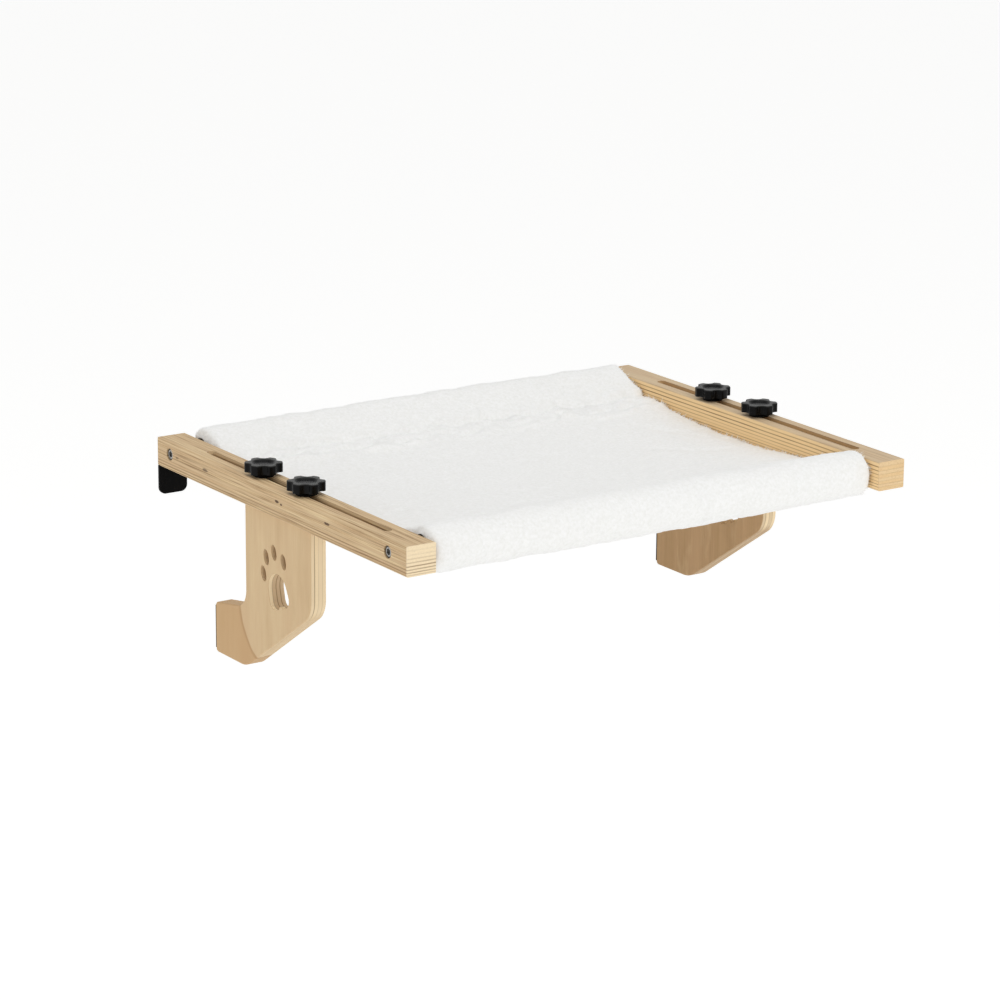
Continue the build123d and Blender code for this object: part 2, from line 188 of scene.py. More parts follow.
def plywoodMaterial(name, look):
    material, shader, place = startMaterial(name, Specular_IOR_Level=0.3)
    xyz = addNode(material, "SeparateXYZ", (place,), None)
    stack = addNode(material, "Math", (xyz[look["stackAxis"]], look["stackStart"]), operation="SUBTRACT")
    wood = addNode(material, "CombineXYZ", (xyz[look["crossAxis"]], xyz[look["grainAxis"]], stack))
    # The veneers wander a little in thickness
    wander = addNode(material, "Mapping", {0: wood, "Scale": plyNoise["wander"]})
    wander = addNode(material, "TexNoise", {"Vector": wander, "Scale": 1.0, "Detail": 1.0})
    wander = addNode(material, "MapRange", (wander, 0.2, 0.8, -look["wander"], look["wander"]))
    # The plies are thinner towards the stack's start where squeeze is under 1
    layer = addNode(material, "Math", (stack, 1 / look["thick"]), operation="MULTIPLY")
    layer = addNode(material, "Math", (layer, 0.0), operation="MAXIMUM")
    layer = addNode(material, "Math", (layer, look["squeeze"]), operation="POWER")
    layer = addNode(material, "Math", (layer, look["plies"], wander), operation="MULTIPLY_ADD")
    number = addNode(material, "Math", (layer,), operation="FLOOR")
    number = addNode(material, "Math", (number, 0.0), operation="MAXIMUM")
    number = addNode(material, "Math", (number, look["plies"] - 1.0), operation="MINIMUM")
    crossPly = addNode(material, "Math", (number, 2.0), operation="MODULO")
    # Plies hardly show on an edge that is sawn at a slant
    slant = addNode(material, "MapRange", (xyz[look["grainAxis"]], look["plainBelow"],
                                           look["plainBelow"] + look["plainFade"], 0.25, 1.0))
    crossPly = addNode(material, "Math", (crossPly, slant), operation="MULTIPLY")
    seeded = addNode(material, "Math", (number, look["seed"]), operation="ADD")
    chance = addNode(material, "TexWhiteNoise", {"W": seeded}, noise_dimensions="1D")
    shift = addNode(material, "Math", (chance, 37.0), operation="MULTIPLY")
    fibres = []
    for scale in plyNoise["fibres"]:
        spread = addNode(material, "Mapping", {0: wood, "Scale": scale})
        fibres.append(addNode(material, "TexNoise", {"Vector": spread, "W": shift, "Scale": 1.0, "Detail": 3.0,
                                                     "Roughness": 0.6}, noise_dimensions="4D"))
    figure = addNode(material, "Mapping", {0: wood, "Scale": plyNoise["figure"]})
    figure = addNode(material, "TexNoise", {"Vector": figure, "Scale": 1.0, "Detail": 2.0, "Distortion": 0.4})
    longTone = addNode(material, "Mix", {0: addNode(material, "MapRange", (fibres[0], 0.3, 0.7, 0.0, 1.0)),
                                         6: linear(look["darkFibre"]), 7: linear(look["lightFibre"])},
                       2, data_type="RGBA")
    endTone = addNode(material, "Mix", {0: addNode(material, "MapRange", (fibres[1], 0.32, 0.68, 0.0, 1.0)),
                                        6: linear(look["darkEnd"]), 7: linear(look["lightEnd"])},
                      2, data_type="RGBA")
    tone = addNode(material, "Mix", {0: crossPly, 6: longTone, 7: endTone}, 2, data_type="RGBA")
    tint = addNode(material, "Mix", {0: chance, 6: (0.95, 0.93, 0.9, 1), 7: (1.03, 1.03, 1.04, 1)},
                   2, data_type="RGBA")
    tone = addNode(material, "Mix", {0: 1.0, 6: tone, 7: tint}, 2, data_type="RGBA", blend_type="MULTIPLY")
    broad = addNode(material, "MapRange", (figure, 0.35, 0.7, 0.0, look["figure"]))
    tone = addNode(material, "Mix", {0: broad, 6: tone, 7: linear(look["warmFigure"])}, 2, data_type="RGBA")
    # Fine streaks along the grain
    streaks = addNode(material, "Mapping", {0: wood, "Scale": look["streakScale"]})
    streaks = addNode(material, "TexNoise", {"Vector": streaks, "Scale": 1.0, "Detail": 4.0, "Roughness": 0.6})
    for near, far, colour in ((0.52, 0.72, "darkStreak"), (0.46, 0.3, "paleStreak")):
        share = addNode(material, "MapRange", (streaks, near, far, 0.0, look["streaks"]))
        tone = addNode(material, "Mix", {0: share, 6: tone, 7: linear(look[colour])}, 2, data_type="RGBA")
    # Glue lines between the plies, each of its own strength and fainter in places
    joint = addNode(material, "Math", (layer,), operation="ROUND")
    joint = addNode(material, "Math", (joint, 1.0), operation="MAXIMUM")
    joint = addNode(material, "Math", (joint, look["plies"] - 1.0), operation="MINIMUM")
    off = addNode(material, "Math", (layer, joint), operation="SUBTRACT")
    off = addNode(material, "Math", (off,), operation="ABSOLUTE")
    line = addNode(material, "MapRange", (off, 0.02, look["glueWidth"], 1.0, 0.0),
                   interpolation_type="SMOOTHSTEP")
    jointSeed = addNode(material, "Math", (joint, look["seed"] + 50.5), operation="ADD")
    jointChance = addNode(material, "TexWhiteNoise", {"W": jointSeed}, noise_dimensions="1D")
    strength = addNode(material, "MapRange", (jointChance, 0.15, 0.9, look["faintGlue"], look["strongGlue"]))
    line = addNode(material, "Math", (line, strength), operation="MULTIPLY")
    fade = addNode(material, "Mapping", {0: wood, "Scale": plyNoise["glueFade"]})
    fade = addNode(material, "TexNoise", {"Vector": fade, "Scale": 1.0, "Detail": 2.0})
    fade = addNode(material, "MapRange", (fade, 0.36, 0.62, look["gaps"], 1.0))
    line = addNode(material, "Math", (line, fade), operation="MULTIPLY")
    # Sanding leaves the lines faint on the long edges, and the sawn ends show them all
    low, high, under, over = look["glueFade"]
    shown = addNode(material, "MapRange", (stack, low, high, under, over))
    sawn = addNode(material, "MapRange", (xyz[look["grainAxis"]], look["sawnEnd"] + 0.8, look["sawnEnd"],
                                          0.0, 1.0))
    endShown = addNode(material, "MapRange", (stack, *look["endGlueReach"], *look["endGlue"]))
    shown = addNode(material, "Mix", {0: sawn, 2: shown, 3: endShown}, 0)
    shown = addNode(material, "Math", (shown, slant), operation="MULTIPLY")
    opened = [(insideBox(material, xyz, low, high, look["openingSoft"]), share)
              for low, high, share in look["openings"]]
    for opening, _ in opened:
        shown = addNode(material, "Math", (shown, opening), operation="MAXIMUM")
    line = addNode(material, "Math", (line, shown), operation="MULTIPLY")
    # Painted light: the cut edges between the sheet's faces are made paler, not the faces, and the sawn ends
    # too
    for start, end in ((0.3, 1.0), (look["thick"] - 0.3, look["thick"] - 1.0)):
        cut = addNode(material, "MapRange", (stack, start, end, 0.0, 1.0))
        slant = addNode(material, "Math", (slant, cut), operation="MULTIPLY")
    paintedLight = addNode(material, "Math", (slant, look["edgePaintedLight"]), operation="MULTIPLY")
    paintedLight = addNode(material, "Mix", {0: sawn, 2: paintedLight, 3: look["endPaintedLight"]}, 0)
    # Painted light: the walls of the openings, which lie in shade, are made paler
    for opening, share in opened:
        opening = addNode(material, "Math", (opening, share), operation="MULTIPLY")
        paintedLight = addNode(material, "Math", (paintedLight, opening), operation="MAXIMUM")
    tone = addNode(material, "Mix", {0: paintedLight, 6: tone, 7: linear(look["paintedLightTone"])}, 2, data_type="RGBA")
    tone = addNode(material, "Mix", {0: line, 6: tone, 7: linear(look["glue"])}, 2, data_type="RGBA")
    # Painted shade: small cut-outs and slots are made darker inside, where shade falls
    for low, high, soft in look["paintedShadeBoxes"]:
        paintedShade = addNode(material, "Math", (insideBox(material, xyz, low, high, soft), look["paintedShadeShare"]),
                         operation="MULTIPLY")
        tone = addNode(material, "Mix", {0: paintedShade, 6: tone, 7: linear(look["paintedShade"])}, 2, data_type="RGBA")
    # Small dark flaws in the core plies
    for centre, size, depth in look["flaws"]:
        near = addNode(material, "VectorMath", (place, centre), operation="SUBTRACT")
        near = addNode(material, "VectorMath", (near, size), operation="DIVIDE")
        near = addNode(material, "VectorMath", (near,), 1, operation="LENGTH")
        ragged = addNode(material, "MapRange", (fibres[0], 0.3, 0.7, -0.35, 0.35))
        near = addNode(material, "Math", (near, ragged), operation="ADD")
        flaw = addNode(material, "MapRange", (near, 0.75, 1.15, depth, 0.0), interpolation_type="SMOOTHSTEP")
        tone = addNode(material, "Mix", {0: flaw, 6: tone, 7: linear(look["flaw"])}, 2, data_type="RGBA")
    # Darker heartwood, behind and below a curved edge
    for centre, radius, depth in look["heartwood"]:
        away = addNode(material, "VectorMath", (place, centre), operation="SUBTRACT")
        part = addNode(material, "SeparateXYZ", (away,), None)
        away = addNode(material, "VectorMath", (away,), 1, operation="LENGTH")
        ragged = addNode(material, "MapRange", (figure, 0.0, 1.0, -2.0, 2.0))
        away = addNode(material, "Math", (away, ragged), operation="ADD")
        behind = addNode(material, "MapRange", (part[1], 0.0, 20.0, 0.0, 1.0))
        below = addNode(material, "MapRange", (part[2], 14.0, -10.0, 0.0, 1.0))
        corner = addNode(material, "Math", (behind, below), operation="MULTIPLY")
        for start, end, dark, light, colour in ((-0.8, 1.2, 0.0, depth, "heart"),
                                                (1.0, 4.0, 0.5, 0.0, "heartEdge")):
            patch = addNode(material, "MapRange", (away, radius + start, radius + end, dark, light))
            if colour == "heartEdge":
                rim = addNode(material, "MapRange", (away, radius - 0.8, radius + 0.6, 0.0, 1.0))
                patch = addNode(material, "Math", (patch, rim), operation="MULTIPLY")
            patch = addNode(material, "Math", (patch, corner), operation="MULTIPLY")
            tone = addNode(material, "Mix", {0: patch, 6: tone, 7: linear(look[colour])}, 2, data_type="RGBA")
    sunk = addNode(material, "Math", (line, -0.6, fibres[0]), operation="MULTIPLY_ADD")
    wire(material, shader, Base_Color=tone,
         Roughness=addNode(material, "MapRange", (fibres[0], 0.3, 0.7, 0.5, 0.64)),
         Normal=addNode(material, "Bump", {"Height": sunk, "Strength": 0.25, "Distance": 0.2 * mm}))
    return material


railPlywood = {
    "stackAxis": 2, "grainAxis": 1, "crossAxis": 0,
    "stackStart": 0.0, "thick": 25.0, "plies": 9, "squeeze": 0.75, "wander": 0.1, "seed": 3.0,
    "darkFibre": "CFB187", "lightFibre": "DCC49C",
    "darkEnd": "C6A87C", "lightEnd": "D8BC92",
    "warmFigure": "C8A27A", "figure": 0.35,
    "darkStreak": "7E5830", "paleStreak": "EAD3A6", "streaks": 1.0, "streakScale": (0.5, 0.01, 0.8),
    "glue": "6E4620", "glueWidth": 0.32, "faintGlue": 0.6, "strongGlue": 1.0, "gaps": 0.5,
    # How strongly the lines show, from one height in the stack to another, and at the sawn end
    "glueFade": (0.0, 25.0, 1.0, 1.0), "sawnEnd": -396.9, "endGlue": (1.0, 0.15), "endGlueReach": (8.0, 18.0),
    # Painted light: how much paler the sawn end and the cut edges are, and their pale tone
    "endPaintedLight": 0.75, "edgePaintedLight": 0.0, "paintedLightTone": "FDEAC6",
    "plainBelow": -900.0, "plainFade": 8.0, "flaw": "4E3520", "flaws": [],
    "heart": "BC8E58", "heartEdge": "A67C4E", "heartwood": [],
    # Boxes: low and high corner, and the softness of their sides or the share of painted light; the dark tone
    # is painted shade inside them
    "paintedShade": "8A5C2C", "paintedShadeShare": 0.42, "paintedShadeBoxes": [], "openingSoft": 0.3, "openings": [],
}
leftFlaws = [((-250, -79.8, 14.3), (3, 4.4, 1.2), 0.7), ((-250, -198.6, 14.7), (3, 3.6, 1.2), 0.95),
             ((-250, -205.5, 13.6), (3, 1.8, 1.0), 0.9), ((-250, -277.4, 14.7), (3, 4.6, 1.1), 0.9),
             ((-250, -31.5, 13.6), (3, 2.8, 1.0), 0.55)]
# Left rail: painted light on the walls of its slot
dress(plywoodMaterial("birchPlywoodLeftRail", dict(
    railPlywood, glueFade=(6.6, 7.8, 1.0, 0.2), flaws=leftFlaws,
    openings=[((-240.9, -352.0, 0.1), (-232.1, -63.0, 24.9), 0.25)])), "left_rail")
# Right rail: painted light makes its cut edges paler, as lit by the white sling beside them, and painted shade
# darkens its slot inside
dress(plywoodMaterial("birchPlywoodRightRail", dict(
    railPlywood, seed=8.0, darkFibre="CDB491", lightFibre="DAC6A6", streaks=0.5,
    glue="704A26", glueWidth=0.23, faintGlue=0.45, strongGlue=0.95, endGlue=(0.3, 0.2),
    endPaintedLight=0.45, edgePaintedLight=0.8, paintedLightTone="FDD9A0",
    paintedShadeBoxes=[((232.0, -352.5, 0.1), (241.0, -62.5, 24.9), 0.4)])), "right_rail")
# Hooks: painted light makes their cut edges paler
hookPlywood = dict(railPlywood, stackAxis=0, grainAxis=2, crossAxis=1, thick=15.0, plies=4, squeeze=1.0,
                   wander=0.05, figure=0.3, darkFibre="D6B98E", lightFibre="DCC39B",
                   darkEnd="DCBE8E", lightEnd="ECD2A6", streakScale=(0.05, 0.012, 0.3), streaks=0.22,
                   darkStreak="B8976A", glue="5E3A16", glueWidth=0.18, faintGlue=0.8,
                   glueFade=(4.6, 6.0, 1.0, 0.22), sawnEnd=-200.0,
                   edgePaintedLight=0.55, plainBelow=-80.0)
# Left hook: painted light on the walls of the paw's pad, and painted shade inside the pad and the toes
dress(plywoodMaterial("birchPlywoodLeftHook", dict(
    hookPlywood, stackStart=-244.0, seed=11.0,
    openings=[((-243.8, -208.0, -86.0), (-229.2, -170.0, -51.0), 0.75)],
    heartwood=[((-244.0, -175.3, -89.5), 49.0, 0.5)],
    paintedShadeBoxes=[((-240.6, -208.0, -86.0), (-228.9, -170.0, -51.0), 1.0),
              ((-243.9, -210.0, -49.5), (-229.1, -160.0, -26.0), 2.0),
              ((-243.9, -171.5, -65.0), (-229.1, -157.0, -47.0), 2.0)])), "left_hook")
# Right hook: darker tones, painted shade, as it hangs under the sling
dress(plywoodMaterial("birchPlywoodRightHook", dict(
    hookPlywood, stackStart=229.0, seed=23.0, darkFibre="9F7D53", lightFibre="B08E64")), "right_hook")
print("plywood is dressed")


# Plain materials, each with the fine surface that its process leaves
def grainyMaterial(name, colour, grain, bump, depth, roughness, **sockets):
    material, shader, place = startMaterial(name, Base_Color=linear(colour), **sockets)
    texture = addNode(material, "TexNoise", {"Vector": place, "Scale": 1.0 / grain, "Detail": 2.0})
    wire(material, shader,
         Roughness=addNode(material, "MapRange", (texture, 0.3, 0.7, roughness - 0.06, roughness + 0.06)),
         Normal=addNode(material, "Bump", {"Height": texture, "Strength": bump, "Distance": depth * mm}))
    return material


stations = [f"{side}_{row}" for side in ("left", "right") for row in ("front", "rear")]
rodEnds = [f"{row}_{side}" for side in ("left", "right") for row in ("front", "rear")]
# Moulded black nylon: a satin gloss, with a painted highlight in grey on the rim of the lobes' tops
paintedHighlightHeights = (35.7 * mm, 36.5 * mm)
nylon = grainyMaterial("mouldedBlackNylon", "020202", 0.9, 0.12, 0.2, 0.25, Specular_IOR_Level=0.14)
nylonShader = nylon.node_tree.nodes["Principled BSDF"]
height = addNode(nylon, "SeparateXYZ", (addNode(nylon, "TexCoord", out="Object"),), 2)
# Painted highlight: the base colour turns grey towards the top of the rim
rim = addNode(nylon, "MapRange", (height, *paintedHighlightHeights, 0.0, 0.8))
wire(nylon, nylonShader, Base_Color=addNode(nylon, "Mix", {0: rim, 6: linear("020202"), 7: linear("3C3C3A")},
                                            2, data_type="RGBA"))
dress(nylon, *[f"{station}_knob" for station in stations])
# Zinc plated steel: bright, slightly blue, with faint turning marks
zinc = grainyMaterial("zincPlatedSteel", "B4B8BC", 1.2, 0.15, 0.1, 0.34, Metallic=1.0)
dress(zinc, *[f"{station}_{part}" for station in stations for part in ("insert", "stud")])
# Stainless cap screws: bright round the key, with painted shadow at the rim, where the head sits in its
# counterbore
stainless = grainyMaterial("stainlessSteel", "9C9B99", 0.9, 0.12, 0.1, 0.36, Metallic=1.0)
capScrews = {"rows": (-369.0, -18.5), "height": 14.0, "gapShadowReach": (3.6, 4.0)}
fromAxis = []
for row in capScrews["rows"]:
    objectPlace = addNode(stainless, "TexCoord", out="Object")
    away = addNode(stainless, "VectorMath", (objectPlace, (0, row * mm, capScrews["height"] * mm)),
                   operation="SUBTRACT")
    away = addNode(stainless, "VectorMath", (away, (0, 1, 1)), operation="MULTIPLY")
    fromAxis.append(addNode(stainless, "VectorMath", (away,), 1, operation="LENGTH"))
nearest = addNode(stainless, "Math", fromAxis, operation="MINIMUM")
# Painted shadow: dark and less metallic from this distance off each rod's axis outward
shadowStart, shadowFull = (radius * mm for radius in capScrews["gapShadowReach"])
gapShadow = addNode(stainless, "MapRange", (nearest, shadowStart, shadowFull, 0.0, 1.0))
wire(stainless, stainless.node_tree.nodes["Principled BSDF"],
     Base_Color=addNode(stainless, "Mix", {0: gapShadow, 6: linear("A9A8A5"), 7: linear("1E1A16")},
                        2, data_type="RGBA"),
     Metallic=addNode(stainless, "MapRange", (gapShadow, 0.0, 1.0, 1.0, 0.2)))
dress(stainless, *[f"{end}_rod_screw" for end in rodEnds])
# Black oxide steel: dark, still metallic in the light
dress(grainyMaterial("blackOxideSteel", "161515", 0.8, 0.12, 0.1, 0.42, Metallic=1.0),
      *[f"{station}_washer" for station in stations], "left_bracket_screws", "right_bracket_screws")
# Matt black powder coat: fine orange peel that breaks up every highlight
powderCoat = grainyMaterial("blackPowderCoat", "040303", 1.1, 0.3, 0.3, 0.6, Specular_IOR_Level=0.08)
dress(powderCoat, "left_bracket", "right_bracket", "front_rod", "rear_rod")
# Moulded grey nylon: the plugs in the rods, slightly waxy
dress(grainyMaterial("greyNylonPlug", "2A2A2A", 0.9, 0.1, 0.2, 0.5), *[f"{end}_rod_plug" for end in rodEnds])
# Black rubber: dull, grey where light grazes it
dress(grainyMaterial("blackRubber", "080706", 0.7, 0.4, 0.3, 0.85, Specular_IOR_Level=0.12),
      "left_jaw_pad", "right_jaw_pad")
print("hardware is dressed")

# Threaded studs: one M6 thread, turned by the Screw modifier and cut flat at both ends
studs = {
    "crest": 3.0, "root": 2.45, "pitch": 1.0, "stepsPerTurn": 20,
    # Cut off at each end. It keeps the cut clear of the mesh's own points.
    "spare": 1.53,
}


def placeCopy(piece, name, place):
    copy = piece.copy()
    copy.data = piece.data.copy()
    copy.name = copy.data.name = name
    bpy.context.scene.collection.objects.link(copy)
    copy.location = place
    selectOnly(copy)
    bpy.ops.object.transform_apply(location=True, rotation=False, scale=False)
    return copy


def selectPoints(piece, wanted):
    # Selects the vertices in the wanted places, for the next step in edit mode
    for parts in (piece.data.vertices, piece.data.edges, piece.data.polygons):
        parts.foreach_set("select", [False] * len(parts))
    for vertex in piece.data.vertices:
        vertex.select = wanted(vertex.co)


def modelThread(low, high):
    depth = studs["crest"] - studs["root"]
    bpy.ops.object.select_all(action="DESELECT")
    bpy.ops.mesh.primitive_circle_add(vertices=3, radius=mm, fill_type="NOTHING",
                                      rotation=(math.pi / 2, math.pi / 2, 0))
    piece = bpy.context.object
    piece.name = "studThread"
    bpy.ops.object.transform_apply(location=True, rotation=True, scale=True)
    # The triangle, 1.5 mm high and root 3 wide, becomes one tooth. Its point is the crest,
    # and its back is taken away.
    bpy.ops.object.mode_set(mode="EDIT")
    bpy.ops.mesh.select_all(action="SELECT")
    bpy.ops.transform.resize(value=(depth / 1.5, 1, studs["pitch"] / math.sqrt(3)))
    bpy.ops.object.mode_set(mode="OBJECT")
    reach = max(v.co.x for v in piece.data.vertices) / mm
    piece.location = ((studs["crest"] - reach) * mm, 0, (low - studs["spare"]) * mm)
    bpy.ops.object.transform_apply(location=True, rotation=False, scale=False)
    selectPoints(piece, lambda place: place.x < (studs["root"] + 0.1) * mm)
    bpy.ops.object.mode_set(mode="EDIT")
    bpy.ops.mesh.delete(type="EDGE")
    bpy.ops.object.mode_set(mode="OBJECT")
    bpy.ops.object.modifier_add(type="SCREW")
    turn = piece.modifiers["Screw"]
    turn.steps = turn.render_steps = studs["stepsPerTurn"]
    turn.screw_offset = studs["pitch"] * mm
    turn.iterations = math.ceil((high - low + 2 * studs["spare"]) / studs["pitch"])
    bpy.ops.object.modifier_apply(modifier="Screw")
    bpy.ops.object.mode_set(mode="EDIT")
    bpy.ops.mesh.select_all(action="SELECT")
    bpy.ops.mesh.remove_doubles(threshold=0.02 * mm)
    for level, clearing in ((low, {"clear_inner": True}), (high, {"clear_outer": True})):
        bpy.ops.mesh.select_all(action="SELECT")
        bpy.ops.mesh.bisect(plane_co=(0, 0, level * mm), plane_no=(0, 0, 1), use_fill=True, **clearing)
    bpy.ops.mesh.select_all(action="SELECT")
    bpy.ops.mesh.normals_make_consistent(inside=False)
    bpy.ops.object.mode_set(mode="OBJECT")
    bpy.ops.object.shade_smooth_by_angle(angle=math.radians(30))
    piece.data.materials.append(zinc)
    return piece


boxes = {station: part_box(f"{station}_stud") for station in stations}
low, high = (corner[2] / mm for corner in boxes["left_front"])
thread = modelThread(low, high)
for station in stations:
    (x0, y0, _), (x1, y1, _) = boxes[station]
    copy = placeCopy(thread, f"{station}_stud_thread", ((x0 + x1) / 2, (y0 + y1) / 2, 0))
    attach(copy, f"{station}_stud")
    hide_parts(f"{station}_stud")
bpy.data.objects.remove(thread)
print("studs are threaded:", len(copy.data.polygons), "faces each")

# Countersunk bracket screws, each with a cross for the driver cut into its head
crossCut = {
    "length": 4.2, "width": 0.95, "depth": 1.4, "taper": 0.4,
    # Each screw's place along the bracket, and how far its cross is turned, in radians
    "rows": (-8.0, -24.0), "turned": {"left": (0.5, 1.1), "right": (0.2, 0.8)},
}
for side in ("left", "right"):
    screws = placeCopy(nodes[f"{side}_bracket_screws"], f"{side}_bracket_cross_screws", (0, 0, 0))
    screws.hide_render = screws.hide_viewport = False
    bpy.ops.object.mode_set(mode="EDIT")
    bpy.ops.mesh.select_all(action="SELECT")
    bpy.ops.mesh.remove_doubles(threshold=0.001 * mm)
    bpy.ops.object.mode_set(mode="OBJECT")
    (x0, _, _), (x1, _, _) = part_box(f"{side}_bracket_screws")
    for row, turned in zip(crossCut["rows"], crossCut["turned"][side]):
        for angle in (turned, turned + math.pi / 2):
            bpy.ops.mesh.primitive_cube_add(size=1, location=((x0 + x1) / 2, row * mm, 0),
                                            rotation=(0, 0, angle),
                                            scale=(crossCut["length"] * mm, crossCut["width"] * mm,
                                                   2 * crossCut["depth"] * mm))
            blade = bpy.context.object
            # Narrower towards its point, which is inside the head
            selectPoints(blade, lambda place: place.z > 0)
            bpy.ops.object.mode_set(mode="EDIT")
            bpy.ops.transform.resize(value=(crossCut["taper"], crossCut["taper"], 1))
            bpy.ops.object.mode_set(mode="OBJECT")
            selectOnly(screws)
            bpy.ops.object.modifier_add(type="BOOLEAN")
            screws.modifiers["Boolean"].operation = "DIFFERENCE"
            screws.modifiers["Boolean"].object = blade
            bpy.ops.object.modifier_apply(modifier="Boolean")
            bpy.data.objects.remove(blade)
    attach(screws, "frame")
    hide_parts(f"{side}_bracket_screws")
print("bracket screws are cut")

# Sling. One plush cloth, sewn into a sleeve round each rod and hanging as a panel
# between the two seams. Each section across the bed is one closed loop of points
# (y, z) in millimetres, and each point has a place inside the cloth to close on at
# the ends: the middle of the panel, or the bore that the rod lies in.
sling = {
    "half": 218.8, "rowStep": 4.0,
    # Left and right: the left end is rounder, and the right one stands against its rail
    "ends": (-218.8, 222.0), "endRounds": (7.0, 3.0), "endTurns": (90.0, 68.0, 46.0, 23.0),
    # How far out the cloth may reach, just short of the rails' inner faces
    "railFaces": 222.8,
    "thickness": 6.0, "sleeveRadius": 20.0, "bore": 10.1,
    "frontRod": (-369.0, 14.0), "rearRod": (-18.5, 14.0),
    "frontSleeve": (-369.0, 10.5), "rearSleeve": (-18.5, 13.0),
    "frontSeam": (-306.0, 9.0), "rearSeam": (-62.0, 14.8),
    "lowPlace": -186.7, "lowTop": 25.0, "sag": 22.0,
    # Place across the bed, sleeve radius and sag, as shares of the sizes above
    "sections": ((-1, 0.99, 0.98), (-0.975, 0.99, 0.98), (-0.92, 0.995, 0.985), (-0.6, 1, 1.02),
                 (-0.2, 1.02, 1), (0.2, 1.03, 1.03), (0.6, 1.01, 1.05), (0.92, 0.985, 1),
                 (0.975, 0.99, 0.99), (1, 0.99, 0.985)),
    # Neighbouring places, as shares of the half width, over which the sections are evened out
    "blendOver": (-0.03, -0.015, 0.0, 0.015, 0.03),
    "panelSteps": 48, "rearWedgeSteps": 8, "frontWedgeSteps": 11, "rearArcSteps": 16, "frontArcSteps": 15,
}


def lineOf(start, end, steps):
    shares = np.arange(steps)[:, None] / steps
    return np.array(start) + (np.array(end) - np.array(start)) * shares


def circleOf(centre, radius, start, end, steps):
    angles = start + (end - start) * np.arange(steps) / steps
    return np.array(centre) + radius * np.column_stack([np.cos(angles), np.sin(angles)])


def arcThrough(start, middle, end, steps):
    (ay, az), (by, bz), (cy, cz) = start, middle, end
    d = 2 * (ay * (bz - cz) + by * (cz - az) + cy * (az - bz))
    a2, b2, c2 = ay * ay + az * az, by * by + bz * bz, cy * cy + cz * cz
    centre = ((a2 * (bz - cz) + b2 * (cz - az) + c2 * (az - bz)) / d,
              (a2 * (cy - by) + b2 * (ay - cy) + c2 * (by - ay)) / d)
    first, last = (math.atan2(z - centre[1], y - centre[0]) for y, z in (start, end))
    return circleOf(centre, math.hypot(ay - centre[0], az - centre[1]), first, last, steps)


def touchAngle(centre, radius, point, turn):
    reach = math.dist(point, centre)
    return math.atan2(point[1] - centre[1], point[0] - centre[0]) + turn * math.acos(radius / reach)


def slingSection(radiusShare, sagShare):
    radius = sling["sleeveRadius"] * radiusShare
    tops = {"front": sling["frontSeam"], "rear": sling["rearSeam"],
            "low": (sling["lowPlace"], sling["lowTop"] - sling["sag"] * sagShare)}
    unders = {key: (y, z - sling["thickness"]) for key, (y, z) in tops.items()}
    top = arcThrough(tops["front"], tops["low"], tops["rear"], sling["panelSteps"])
    under = arcThrough(unders["rear"], unders["low"], unders["front"], sling["panelSteps"])
    middle = (np.vstack([top, tops["rear"]]) + np.vstack([under, unders["front"]])[::-1]) / 2
    outer, inner = [top], [middle[:-1]]
    for row, sideUp in (("rear", -1), ("front", 1)):
        sleeve, rod = sling[row + "Sleeve"], sling[row + "Rod"]
        wedge, arc = sling[row + "WedgeSteps"], sling[row + "ArcSteps"]
        seam = middle[-1] if row == "rear" else middle[0]
        high = touchAngle(sleeve, radius, tops[row], sideUp)
        low = touchAngle(sleeve, radius, unders[row], -sideUp)
        facing = math.atan2(seam[1] - rod[1], seam[0] - rod[0])
        meet = (rod[0] + sling["bore"] * math.cos(facing), rod[1] + sling["bore"] * math.sin(facing))
        highPoint, lowPoint = (circleOf(sleeve, radius, angle, angle, 1)[0] for angle in (high, low))
        begin, finish = (high, low) if row == "rear" else (low, high)
        beginPoint, finishPoint = (highPoint, lowPoint) if row == "rear" else (lowPoint, highPoint)
        beginSeam, finishSeam = (tops, unders) if row == "rear" else (unders, tops)
        turn = (begin - finish) % math.tau
        outer += [lineOf(beginSeam[row], beginPoint, wedge), circleOf(sleeve, radius, begin, begin - turn, arc),
                  lineOf(finishPoint, finishSeam[row], wedge)]
        inner += [lineOf(seam, meet, wedge), circleOf(rod, sling["bore"], facing, facing - math.tau, arc),
                  lineOf(meet, seam, wedge)]
        if row == "rear":
            outer.append(under)
            inner.append(middle[::-1][:-1])
    return np.vstack(outer), np.vstack(inner)


def buildSling():
    sections = np.array(sling["sections"], dtype=float)
    (leftEnd, rightEnd), (leftRound, rightRound) = sling["ends"], sling["endRounds"]
    leftBody, rightBody = leftEnd + leftRound, rightEnd - rightRound
    rows = np.linspace(leftBody, rightBody, round((rightBody - leftBody) / sling["rowStep"]) + 1)
    turns = np.radians(sling["endTurns"])
    places = [(leftBody, -angle) for angle in turns] + [(row, 0.0) for row in rows]
    places += [(rightBody, angle) for angle in turns[::-1]]
    mesh = bmesh.new()
    rings = []
    for row, angle in places:
        near = [row / sling["half"] + shift for shift in sling["blendOver"]]
        shares = [np.mean(np.interp(near, sections[:, 0], sections[:, k])) for k in (1, 2)]
        outer, inner = slingSection(*shares)
        loop = inner + (outer - inner) * math.cos(angle)
        x = row + (leftRound if angle < 0 else rightRound) * math.sin(angle)
        rings.append([mesh.verts.new((x * mm, y * mm, z * mm)) for y, z in loop])
    for first, second in zip(rings, rings[1:]):
        for k in range(len(first)):
            n = (k + 1) % len(first)
            mesh.faces.new((first[k], second[k], second[n], first[n]))
    data = bpy.data.meshes.new("slingPlush")
    mesh.to_mesh(data)
    mesh.free()
    piece = bpy.data.objects.new("slingPlush", data)
    bpy.context.scene.collection.objects.link(piece)
    return piece, len(places)


